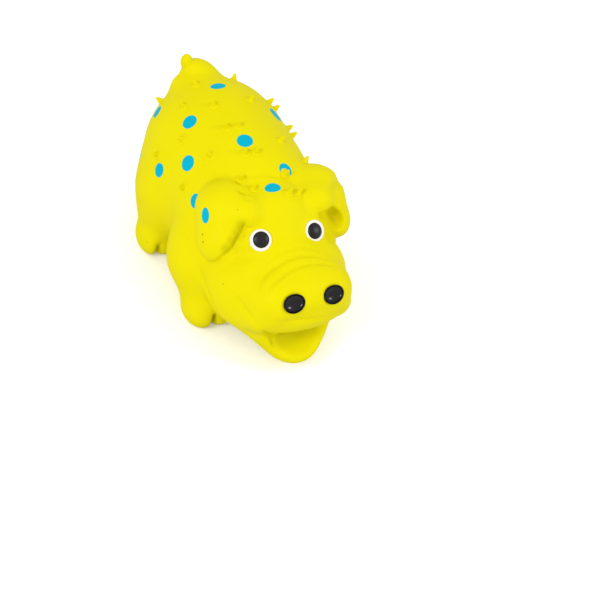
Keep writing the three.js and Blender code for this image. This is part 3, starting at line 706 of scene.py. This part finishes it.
class Finish:
    """A material with one shader, its nodes added by plain calls"""

    def __init__(self, name, fixed):
        self.material = bpy.data.materials.new(name)
        self.material.use_nodes = True
        self.tree = self.material.node_tree
        self.shader = self.tree.nodes["Principled BSDF"]
        self.paint(fixed)
        self.place = self.node("ShaderNodeTexCoord").outputs["Object"]

    def node(self, kind, settings=None, sockets=None):
        """A node of a type, its settings, then the values or links of its sockets"""
        node = self.tree.nodes.new(kind)
        for name, value in (settings or {}).items():
            setattr(node, name, value)
        for key, value in (sockets or {}).items():
            self.feed(node.inputs[key], value)
        return node

    def number(self, kind, settings, sockets, output=0):
        """One output of a new node, as a number"""
        return Value(self, self.node(kind, settings, sockets).outputs[output])

    def feed(self, socket, value):
        """A socket linked to a number or an output, or set to a plain value"""
        if isinstance(value, Value):
            value = value.socket
        if isinstance(value, bpy.types.NodeSocket):
            self.tree.links.new(value, socket)
        elif socket.type == "RGBA":
            socket.default_value = (*value, 1)
        else:
            socket.default_value = value

    def paint(self, sockets):
        """Values or links of the shader's sockets"""
        for name, value in sockets.items():
            self.feed(self.shader.inputs[name], value)

    def mixed(self, share, first, second):
        """The first colour where the share is 0, the second where it is 1"""
        node = self.node("ShaderNodeMix", {"data_type": "RGBA"}, {0: share, 6: first, 7: second})
        return node.outputs[2]

    def grain(self, size, detail):
        """Noise from 0 to 1 with features of a size in metres"""
        sockets = {"Vector": self.place, "Scale": 1 / size, "Detail": detail}
        return self.number("ShaderNodeTexNoise", {}, sockets)

    def away(self, point, size):
        """Distance from a point about the pig's own middle, each axis counted in its half size"""
        divided = {0: self.place, 1: Vector(size)}
        scaled = self.node("ShaderNodeVectorMath", {"operation": "DIVIDE"}, divided)
        sockets = {0: scaled.outputs["Vector"], 1: Vector((point + SHIFT) / size)}
        return self.number("ShaderNodeVectorMath", {"operation": "DISTANCE"}, sockets, "Value")

    def nearest(self, table, radius, seated=True):
        """Distance from the nearest of a table's spots, seated on the skin or not, 1 at its edge"""
        middles = np.array([place(shares) for shares, _ in table])
        if seated:
            middles, _ = on_skin(middles)
        sizes = np.array([size for _, size in table]) * radius
        distance = self.away(middles[0], sizes[0])
        for middle, size in zip(middles[1:], sizes[1:]):
            distance = distance.least(self.away(middle, size))
        return distance

    def raised(self, height, distance):
        """The shader's normal follows a height from 0 to 1 that stands a distance proud"""
        sockets = {"Strength": 1.0, "Distance": distance, "Height": height}
        self.paint({"Normal": self.node("ShaderNodeBump", {}, sockets).outputs["Normal"]})


def latex_finish(name, spotted):
    """Yellow latex, mottled a little, with painted spots, marks and painted shade, or plain"""
    paint = bpy.context.scene.pig_paint
    finish = Finish(name, {"Specular IOR Level": LATEX_SPECULAR})
    mottle = finish.grain(*MOTTLE)
    speckle = finish.grain(*SPECKLE)
    shade = finish.mixed(mottle, paint.latex, paint.latex_deep)
    roughness = mottle * 0.1 + speckle * 0.08 + LATEX_ROUGHNESS
    height = speckle * 0.35 + mottle * 0.3
    if spotted:
        ragged = finish.grain(*RAGGED_EDGE) * 0.1 - 0.05
        spot = 1 - (finish.nearest(SPOTS, paint.spot_radius) + ragged).stepped(0.95, 1.03)
        mark = 1 - (finish.nearest(MARKS, paint.mark_radius) + ragged * 3).stepped(0.4, 1.1)
        blue = finish.mixed(mottle, paint.spot, paint.spot_deep)
        shade = finish.mixed(spot, shade, blue)
        shade = finish.mixed(mark * 0.7, shade, paint.mark)
        # Painted shade: the colour turns deeper where shade falls in the mouth, ears and neck folds
        painted_shade = 1 - finish.nearest(PAINTED_SHADES, paint.painted_shade_radius, seated=False).stepped(0.2, 1.0)
        shade = finish.mixed(painted_shade, shade, paint.painted_shade)
        roughness = roughness - spot * 0.06
        height = height + spot * 0.5
    finish.paint({"Base Color": shade, "Roughness": roughness})
    finish.raised(height, LATEX_PROUD)
    return finish.material


def clouded_finish(name, shades, roughness, kind):
    """Glossy paint or moulded plastic: two shades clouded into one another, over fine bumps"""
    finish = Finish(name, {"Specular IOR Level": kind["specular"]})
    cloud = finish.grain(*kind["cloud"])
    base = finish.mixed(cloud, *shades)
    finish.paint({"Base Color": base, "Roughness": cloud * kind["rough"] + roughness})
    finish.raised(finish.grain(*kind["bumps"]), kind["proud"])
    return finish.material


def amount(name, description, default, unit="LENGTH"):
    """A setting in metres, or in another unit"""
    return FloatProperty(name=name, description=description, default=default, unit=unit)


def hue(name, description, default):
    """A colour setting"""
    return FloatVectorProperty(
        name=name, description=description, default=default, subtype="COLOR", min=0, max=1
    )


class SkinSettings(bpy.types.PropertyGroup):
    """Sizes of the moulded skin"""

    grid_step: amount("Grid step", "Spacing of the skin's points", 0.00068)
    cavity_step: amount("Cavity step", "Spacing of the hollow's points", 0.0022)
    wall: amount("Wall", "Thickness of the latex", 0.0022)
    lip_round: amount("Lip rounding", "Rounding of the ears' hollows and the toe notches", 0.0016)
    mouth_round: amount("Mouth rounding", "Rounding of the mouth's edge", 0.003)
    cup_round: amount("Cup rounding", "Rounding of the far ear's front cup", 0.0008)
    rim_round: amount("Rim rounding", "Rounding of the nostril rims", 0.0004)
    sole_round: amount("Sole rounding", "Rounding of the soles' edges", 0.0008)
    fold_depth: amount("Fold depth", "Depth of a fold whose share is 1", 0.0006)
    fold_width: amount("Fold width", "Half width of a fold", 0.0007)
    relax_rounds: IntProperty(
        name="Relax rounds", description="How often the skin's points are spread out", default=2
    )


class FaceSettings(bpy.types.PropertyGroup):
    """Sizes of the eyes and nostrils"""

    eye_radius: amount("Eye radius", "Radius of the white ring", 0.0033)
    eye_proud: amount("Eye height", "How far the white stands proud", 0.0007)
    pupil_radius: amount("Pupil radius", "Radius of the black pupil", 0.00265)
    pupil_proud: amount("Pupil height", "How far the pupil stands proud", 0.0013)
    nostril_width: amount("Nostril width", "Width of a nostril", 0.0066)
    nostril_height: amount("Nostril height", "Height of a nostril", 0.0056)
    nostril_depth: amount("Nostril depth", "Depth of a nostril", 0.0019)


class SpikeSettings(bpy.types.PropertyGroup):
    """Sizes of the soft spikes"""

    height: amount("Height", "Height of a spike", 0.0021)
    base: amount("Base", "Width of a spike above its foot", 0.0018)
    tip: amount("Tip", "Width of a spike's tip", 0.001)
    foot: amount("Foot", "Width of the rounded foot", 0.0034)


class PaintSettings(bpy.types.PropertyGroup):
    """Colours of the latex and its paint, and of the painted shade in its hollows"""

    latex: hue("Latex", "Colour of the latex", (0.785, 0.7, 0.001))
    latex_deep: hue("Latex, deep", "Its deeper mottling", (0.76, 0.675, 0.001))
    spot: hue("Spots", "Colour of the spots", (0.001, 0.45, 0.62))
    spot_deep: hue("Spots, deep", "Their deeper mottling", (0.001, 0.4, 0.555))
    spot_radius: amount("Spot radius", "Radius of a spot", 0.0023)
    mark: hue("Marks", "Colour of the small marks", (0.16, 0.12, 0.002))
    mark_radius: amount("Mark radius", "Radius of a small mark", 0.00022)
    # Painted shade: the deeper colour laid where shade falls in the mouth, ears and neck folds
    painted_shade: hue("Deeper tint", "Colour deep in the mouth, ears and neck folds", (0.62, 0.56, 0.001))
    painted_shade_radius: amount("Tint radius", "Radius of a deeper tint", 0.005)


class StudioSettings(bpy.types.PropertyGroup):
    """The floor and the light"""

    floor: hue("Floor", "Colour of the floor", (0.8, 0.8, 0.8))
    key: amount("Key lamp", "Power of the key lamp", 1.3, "POWER")
    fill: amount("Fill lamp", "Power of the fill lamp", 0.8, "POWER")
    world: FloatProperty(name="World", description="Strength of the light all round", default=0.8)


class LATEXPIG_OT_skin(bpy.types.Operator):
    """The moulded skin, with its folds, hollow inside, and its seat for the squeaker"""

    bl_idname = "latexpig.skin"
    bl_label = "Skin"

    def execute(self, context):
        skin = context.scene.pig_skin
        half = SPAN / 2 + GRID_ROOM
        low = (-half[0], -half[1], -GRID_BELOW)
        high = (half[0], half[1], BACK_HEIGHT * GRID_TOP_SHARE)
        fine, coarse = (
            [np.arange(start, end, step) for start, end in zip(low, high)]
            for step in (skin.grid_step, skin.cavity_step)
        )
        points, faces = net_round(skin_gap, fine)
        points = relaxed(points, faces, skin_gap, skin.relax_rounds)
        outs = unit(slopes(skin_gap, points))
        points -= outs * fold_depths(points)[:, None]
        piece = new_piece("skin", points, faces)
        hollow = new_piece("hollow", *net_round(cavity_gap, coarse))
        collar, bore = self.seat()
        for tool, way in ((hollow, "DIFFERENCE"), (collar, "UNION"), (bore, "DIFFERENCE")):
            self.combine(piece, tool, way)
        merged(piece, CUT_MERGE, outward=False)
        piece.data.materials.clear()
        piece.data.materials.append(latex_finish("spotted latex", True))
        sides = piece.data.polygons
        sides.foreach_set("material_index", np.zeros(len(sides), np.int32))
        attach(piece, "toy")
        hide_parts("latex_skin")
        return {"FINISHED"}

    @staticmethod
    def seat():
        """The collar round the squeaker and the bore it sits in: two turned profiles on its axis"""
        axis = CASE_MIDDLE - SHIFT
        base = CASE_LOW[2] - SHIFT[2]
        deep = base - BORE_REACH
        flange = base + FLANGE_THICKNESS + SEAT_GAP
        foot, top = flange - SEAT_OVERLAP, flange + COLLAR_THICKNESS
        step, end = top - SEAT_OVERLAP / 2, top + BARB_LENGTH + SEAT_GAP
        rim = COLLAR_DIAMETER / 2
        wide, neck, barb = (
            width / 2 + SEAT_GAP for width in (FLANGE_DIAMETER, CASE_NECK_DIAMETER, BARB_DIAMETER)
        )
        chamfer = [(rim - COLLAR_CHAMFER, foot), (rim, foot + COLLAR_CHAMFER)]
        profiles = {
            "collar": [(0, foot), *chamfer, (rim, top), (0, top)],
            "bore": [(0, deep), (wide, deep), (wide, flange), (neck, flange),
                     (neck, step), (barb, step), (barb, end), (0, end)],
        }
        made = []
        for name, profile in profiles.items():
            points, faces = turned(profile, SEAT_STEPS)
            made.append(merged(new_piece(name, points + (axis[0], axis[1], 0), faces)))
        bpy.context.view_layer.update()
        return made

    @staticmethod
    def combine(piece, tool, way):
        """The piece joined with a tool, or cut by it, and the tool taken away"""
        step = piece.modifiers.new("seat", "BOOLEAN")
        step.operation = way
        step.solver = "MANIFOLD"
        step.object = tool
        worked = piece.evaluated_get(bpy.context.evaluated_depsgraph_get())
        shaped = bpy.data.meshes.new_from_object(worked)
        piece.modifiers.clear()
        if not len(shaped.polygons):
            raise RuntimeError(f"the skin was lost when {tool.name} was worked in")
        piece.data = shaped
        bpy.data.objects.remove(tool)


class LATEXPIG_OT_spikes(bpy.types.Operator):
    """The soft spikes over the back: one turned profile stood at each place"""

    bl_idname = "latexpig.spikes"
    bl_label = "Spikes"

    def execute(self, context):
        back, lean = np.array(SPIKE_SHARES).T
        lean = np.radians(lean)
        none = np.zeros(len(lean))
        starts = [none, back * PIG_LENGTH, none + SPINE_HEIGHT_SHARE * BACK_HEIGHT]
        ways = [np.sin(lean), none, np.cos(lean)]
        seats, outs = seen_along(np.stack(starts, axis=1), np.stack(ways, axis=1))
        profile = self.profile(context.scene.pig_spikes)
        finish = latex_finish("latex", False)
        piece = stood_piece("spikes", profile, SPIKE_STEPS, seats, outs, finish)
        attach(piece, "toy")
        return {"FINISHED"}

    @staticmethod
    def profile(size):
        """From the hidden root up the flared foot, along the cone and over the round tip: the foot is
        a quarter of an ellipse that opens to the skin, the tip a quarter of a circle"""
        turn = np.linspace(0, np.pi / 2, SPIKE_CURVE_POINTS)
        neck, tip = size.base / 2, size.tip / 2
        flare, rise = size.foot / 2 - neck, size.height * SPIKE_FLARE_SHARE
        foot = np.stack([neck + flare * (1 - np.sin(turn)), rise * (1 - np.cos(turn))], axis=1)
        cap_base = size.height - tip
        cap = np.stack([tip * np.cos(turn), cap_base + tip * np.sin(turn)], axis=1)
        root = np.array([(0, -SPIKE_ROOT), (foot[0, 0], -SPIKE_ROOT)])
        return np.concatenate([root, foot, cap[:-1], [(0, size.height)]])


class LATEXPIG_OT_eyes(bpy.types.Operator):
    """The eyes: a low white dome with a black bead on it, on each side of the face"""

    bl_idname = "latexpig.eyes"
    bl_label = "Eyes"

    def execute(self, context):
        size = context.scene.pig_face
        white = clouded_finish("eye white", EYE_WHITE, 0.3, GLOSS)
        black = clouded_finish("eye black", PAINT_BLACK, 0.3, GLOSS)
        dome = self.dome(size.eye_radius, size.eye_proud, EYE_FOOT)
        bead = self.dome(size.pupil_radius, size.pupil_proud, PUPIL_FOOT)
        for name, table, profile, finish in (
            ("eye_whites", EYE_SHARES, dome, white),
            ("pupils", PUPIL_SHARES, bead, black),
        ):
            seats, outs = on_skin([place(shares) for shares in table])
            piece = stood_piece(name, profile, EYE_STEPS, seats, outs, finish)
            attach(piece, "toy")
        return {"FINISHED"}

    @staticmethod
    def dome(radius, height, foot):
        """A closed dome: radius times the cosine, and height times the sine, of an angle from rim to
        top, on a foot that reaches down to the level given"""
        turn = np.linspace(0, np.pi / 2, CURVE_POINTS)
        curve = np.stack([radius * np.cos(turn) ** 0.85, height * np.sin(turn)], axis=1)
        curve[-1, 0] = 0
        return np.concatenate([[(0, foot), (radius * 0.98, foot)], curve])


class LATEXPIG_OT_nostrils(bpy.types.Operator):
    """The glossy black linings of the nostril pits: an oval bowl in each"""

    bl_idname = "latexpig.nostrils"
    bl_label = "Nostrils"

    def execute(self, context):
        size = context.scene.pig_face
        middle, out = NOSTRIL_SEAT
        black = clouded_finish("nostril black", PAINT_BLACK, 0.12, GLOSS)
        turn = np.linspace(0, np.pi / 2, CURVE_POINTS)
        bowl = np.stack([np.sin(turn), -np.cos(turn)], axis=1)
        shell = np.concatenate([bowl * LINING_BACK, [LINING_RIM], bowl[::-1] * LINING_FACE])
        points, faces = turned(shell, NOSTRIL_STEPS)
        points *= (size.nostril_width / 2, size.nostril_height / 2, size.nostril_depth)
        placed = stood(points, middle, out)[0]
        placed = np.concatenate([placed, placed * MIRRORED]) + (HEAD_ASIDE, 0, 0)
        faces = np.concatenate([faces, faces[:, ::-1] + len(points)])
        piece = merged(new_piece("nostril_linings", placed, faces, black))
        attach(piece, "toy")
        return {"FINISHED"}


class LATEXPIG_OT_squeaker(bpy.types.Operator):
    """Finishes for the squeaker's solids"""

    bl_idname = "latexpig.squeaker"
    bl_label = "Squeaker"

    def execute(self, context):
        case = clouded_finish("case plastic", CASE_PLASTIC, 0.36, PLASTIC)
        film = clouded_finish("reed film", REED_FILM, 0.26, PLASTIC)
        finishes = {"squeaker_case": case, "reed_seat": case, "reed_clamp": case, "reed": film}
        for name, finish in finishes.items():
            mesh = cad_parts[name].data
            mesh.materials.clear()
            mesh.materials.append(finish)
        return {"FINISHED"}


class LATEXPIG_OT_studio(bpy.types.Operator):
    """Pale floor, soft light and the camera"""

    bl_idname = "latexpig.studio"
    bl_label = "Studio"

    def execute(self, context):
        studio = context.scene.pig_studio
        scene = context.scene
        scene.view_settings.view_transform = "Standard"
        self.floor(studio)
        self.world(scene, studio)
        self.lamp("key", studio.key, *KEY_LAMP)
        self.lamp("fill", studio.fill, *FILL_LAMP)
        self.camera(scene)
        return {"FINISHED"}

    @staticmethod
    def floor(studio):
        """A wide level disc, a hair below the soles"""
        angles = np.linspace(0, 2 * np.pi, FLOOR_STEPS, endpoint=False)
        rim = np.stack([np.cos(angles), np.sin(angles), np.zeros(FLOOR_STEPS)], axis=1)
        points = np.concatenate([rim * FLOOR_RADIUS, [(0, 0, 0)]]) - SHIFT - (0, 0, FLOOR_DROP)
        around = np.arange(FLOOR_STEPS)
        hub = np.full(FLOOR_STEPS, FLOOR_STEPS)
        faces = np.stack([around, np.roll(around, -1), hub], axis=1)
        finish = Finish("studio floor", {"Specular IOR Level": 0.1, "Emission Strength": 1.0})
        ray = finish.number("ShaderNodeLightPath", {}, {}, "Is Camera Ray")
        grain = finish.grain(0.02, 2.0) * 0.01
        base = finish.mixed(ray, studio.floor, (1, 1, 1))
        glow = finish.mixed(ray, (0, 0, 0), FLOOR_GLOW)
        finish.paint({"Base Color": base, "Roughness": grain + 0.88, "Emission Color": glow})
        floor = new_piece("floor", points, faces, finish.material, smooth=False)

    @staticmethod
    def world(scene, studio):
        """Even light all round, white to the camera"""
        world = bpy.data.worlds.new("studio")
        world.use_nodes = True
        nodes, links = world.node_tree.nodes, world.node_tree.links
        background = nodes["Background"]
        background.inputs["Color"].default_value = (1, 1, 1, 1)
        path = nodes.new("ShaderNodeLightPath")
        strength = nodes.new("ShaderNodeMapRange")
        strength.inputs["To Min"].default_value = studio.world
        strength.inputs["To Max"].default_value = 1.0
        links.new(path.outputs["Is Camera Ray"], strength.inputs["Value"])
        links.new(strength.outputs["Result"], background.inputs["Strength"])
        scene.world = world

    @staticmethod
    def lamp(name, power, width, spot):
        """A square soft lamp that faces the pig"""
        data = bpy.data.lights.new(name, "AREA")
        data.energy = power
        data.size = width
        lamp = added(name, data)
        lamp.location = spot
        aim = Vector((0, 0, BACK_HEIGHT / 2)) - Vector(spot)
        lamp.rotation_euler = aim.to_track_quat("-Z", "Y").to_euler()

    @staticmethod
    def camera(scene):
        """The photograph's view, with its slight roll"""
        data = bpy.data.cameras.new("camera")
        data.lens = LENS
        data.sensor_width = SENSOR
        camera = added("camera", data)
        right, up = Vector(CAMERA_RIGHT), Vector(CAMERA_UP)
        turn = Matrix((right, up, right.cross(up))).transposed().to_4x4()
        spot = Vector(CAMERA_PLACE) + Vector(SHIFT)
        camera.matrix_world = Matrix.Translation(spot) @ turn
        scene.camera = camera


class LATEXPIG_PT_panel(bpy.types.Panel):
    """Lists the pieces and their sizes"""

    bl_idname = "LATEXPIG_PT_panel"
    bl_label = "Latex Pig"
    bl_space_type = "VIEW_3D"
    bl_region_type = "UI"
    bl_category = "Latex Pig"

    def draw(self, context):
        for operator in OPERATORS:
            self.layout.operator(operator.bl_idname)
        for name, group in SETTINGS.items():
            box = self.layout.box()
            for key in group.__annotations__:
                box.prop(getattr(context.scene, name), key)


OPERATORS = (
    LATEXPIG_OT_skin,
    LATEXPIG_OT_spikes,
    LATEXPIG_OT_eyes,
    LATEXPIG_OT_nostrils,
    LATEXPIG_OT_squeaker,
    LATEXPIG_OT_studio,
)
SETTINGS = {
    "pig_skin": SkinSettings,
    "pig_face": FaceSettings,
    "pig_spikes": SpikeSettings,
    "pig_paint": PaintSettings,
    "pig_studio": StudioSettings,
}
CLASSES = (*SETTINGS.values(), *OPERATORS, LATEXPIG_PT_panel)


def register():
    for part in CLASSES:
        bpy.utils.register_class(part)
    for name, group in SETTINGS.items():
        setattr(bpy.types.Scene, name, PointerProperty(type=group))


def unregister():
    for name in SETTINGS:
        delattr(bpy.types.Scene, name)
    for part in reversed(CLASSES):
        bpy.utils.unregister_class(part)


def main():
    register()
    for operator in OPERATORS:
        family, name = operator.bl_idname.split(".")
        getattr(getattr(bpy.ops, family), name)()


if __name__ == "__main__":
    main()
